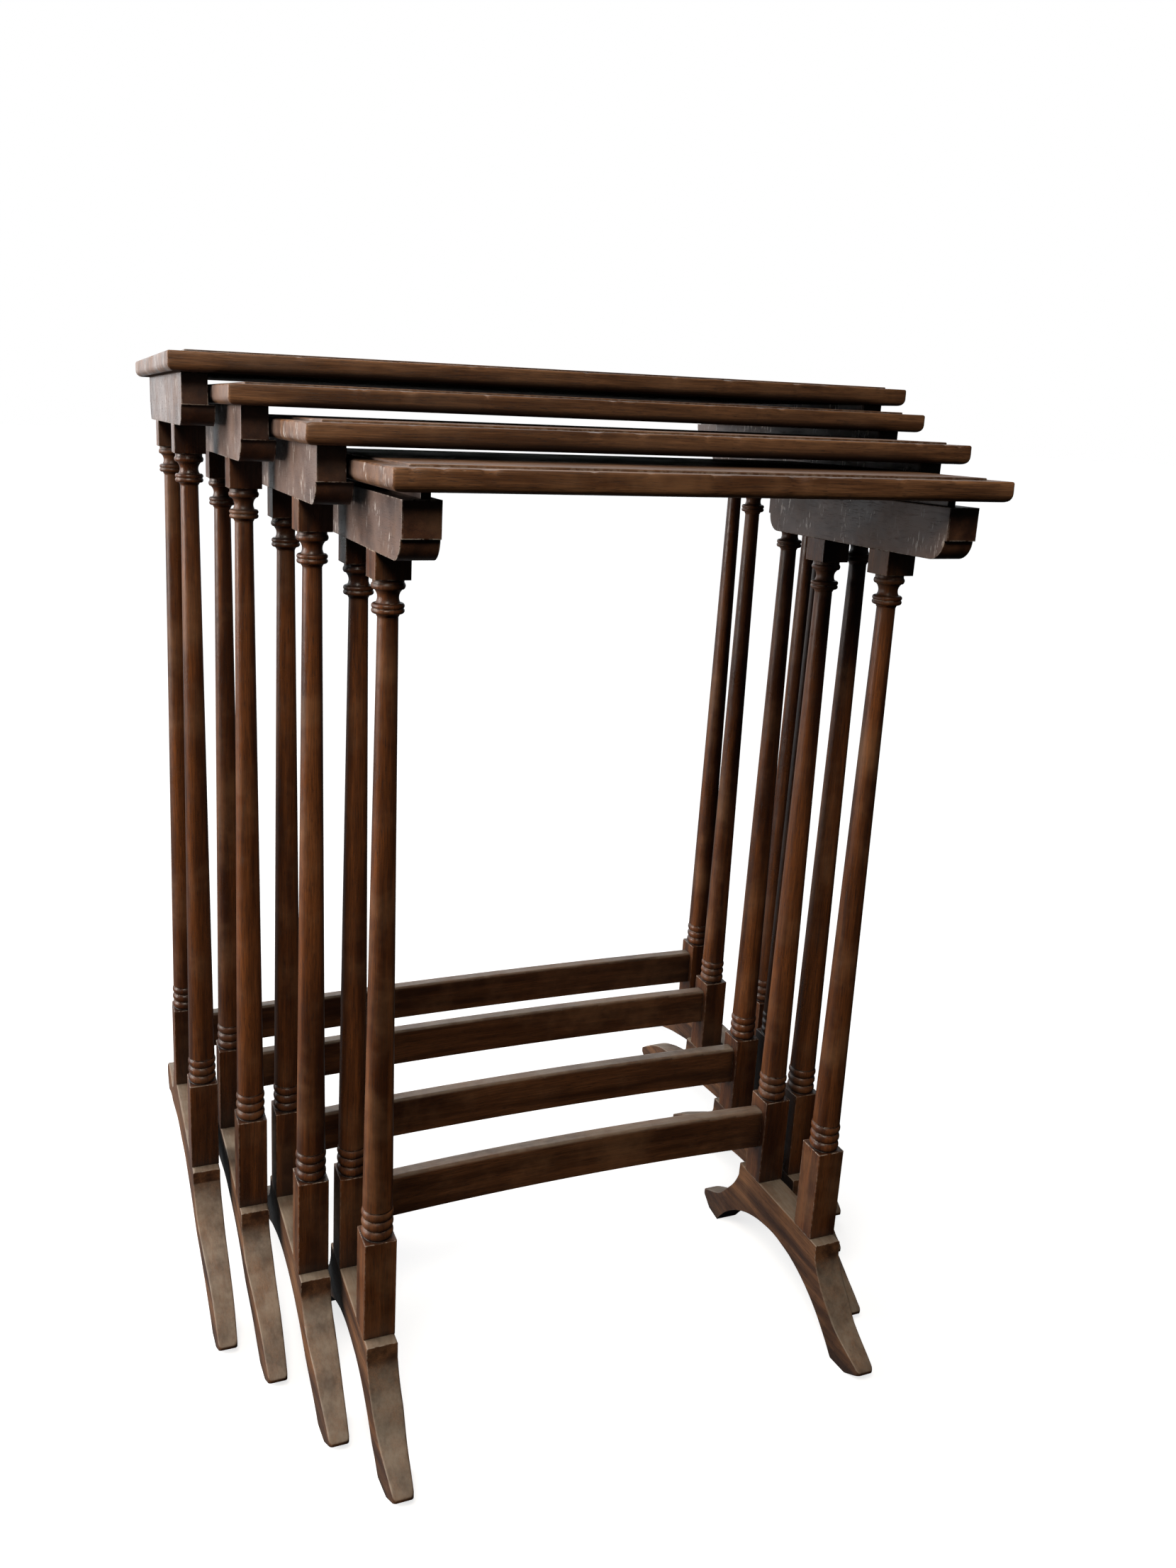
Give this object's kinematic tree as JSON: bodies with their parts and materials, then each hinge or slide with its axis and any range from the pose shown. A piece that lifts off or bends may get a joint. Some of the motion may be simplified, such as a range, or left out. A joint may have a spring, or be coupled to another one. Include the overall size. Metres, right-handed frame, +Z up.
{
  "type": "nest of tables",
  "caption": "Nest of turned-leg wooden side tables on arched sled feet, each sliding out from under the next, with moulded tops and bowed rear stretchers.",
  "frame": {"origin": "on the floor under the middle of the whole nest as it stands stepped out", "axes": "+X along the tops, +Y towards the rear stretchers, +Z up"},
  "size_m": [0.562, 0.575, 0.7064],
  "materials": {
    "top_mahogany": "aged satin wax polish, worn pale on the arrises",
    "frame_mahogany": "aged satin wax polish over turned wood",
    "foot_mahogany": "worn and dusty polish",
    "screw_steel": "dull old steel"
  },
  "bodies": {
    "first_table": {"first_top": "top_mahogany", "first_stretcher": "frame_mahogany", "first_screws": "screw_steel", "first_left_bearer": "frame_mahogany", "first_left_foot": "foot_mahogany", "first_front_left_column": "frame_mahogany", "first_back_left_column": "frame_mahogany", "first_right_bearer": "frame_mahogany", "first_right_foot": "foot_mahogany", "first_front_right_column": "frame_mahogany", "first_back_right_column": "frame_mahogany"},
    "second_table": {"second_top": "top_mahogany", "second_stretcher": "frame_mahogany", "second_screws": "screw_steel", "second_left_bearer": "frame_mahogany", "second_left_foot": "foot_mahogany", "second_front_left_column": "frame_mahogany", "second_back_left_column": "frame_mahogany", "second_right_bearer": "frame_mahogany", "second_right_foot": "foot_mahogany", "second_front_right_column": "frame_mahogany", "second_back_right_column": "frame_mahogany"},
    "third_table": {"third_top": "top_mahogany", "third_stretcher": "frame_mahogany", "third_screws": "screw_steel", "third_left_bearer": "frame_mahogany", "third_left_foot": "foot_mahogany", "third_front_left_column": "frame_mahogany", "third_back_left_column": "frame_mahogany", "third_right_bearer": "frame_mahogany", "third_right_foot": "foot_mahogany", "third_front_right_column": "frame_mahogany", "third_back_right_column": "frame_mahogany"},
    "fourth_table": {"fourth_top": "top_mahogany", "fourth_stretcher": "frame_mahogany", "fourth_screws": "screw_steel", "fourth_left_bearer": "frame_mahogany", "fourth_left_foot": "foot_mahogany", "fourth_front_left_column": "frame_mahogany", "fourth_back_left_column": "frame_mahogany", "fourth_right_bearer": "frame_mahogany", "fourth_right_foot": "foot_mahogany", "fourth_front_right_column": "frame_mahogany", "fourth_back_right_column": "frame_mahogany"}
  },
  "joints": [
    {"name": "second_table_slide", "type": "slide", "parent": "first_table", "child": "second_table", "axis": [0, -1, 0], "range_m": [-0.062, 0.195]},
    {"name": "third_table_slide", "type": "slide", "parent": "second_table", "child": "third_table", "axis": [0, -1, 0], "range_m": [-0.087, 0.151]},
    {"name": "fourth_table_slide", "type": "slide", "parent": "third_table", "child": "fourth_table", "axis": [0, -1, 0], "range_m": [-0.075, 0.144]}
  ]
}
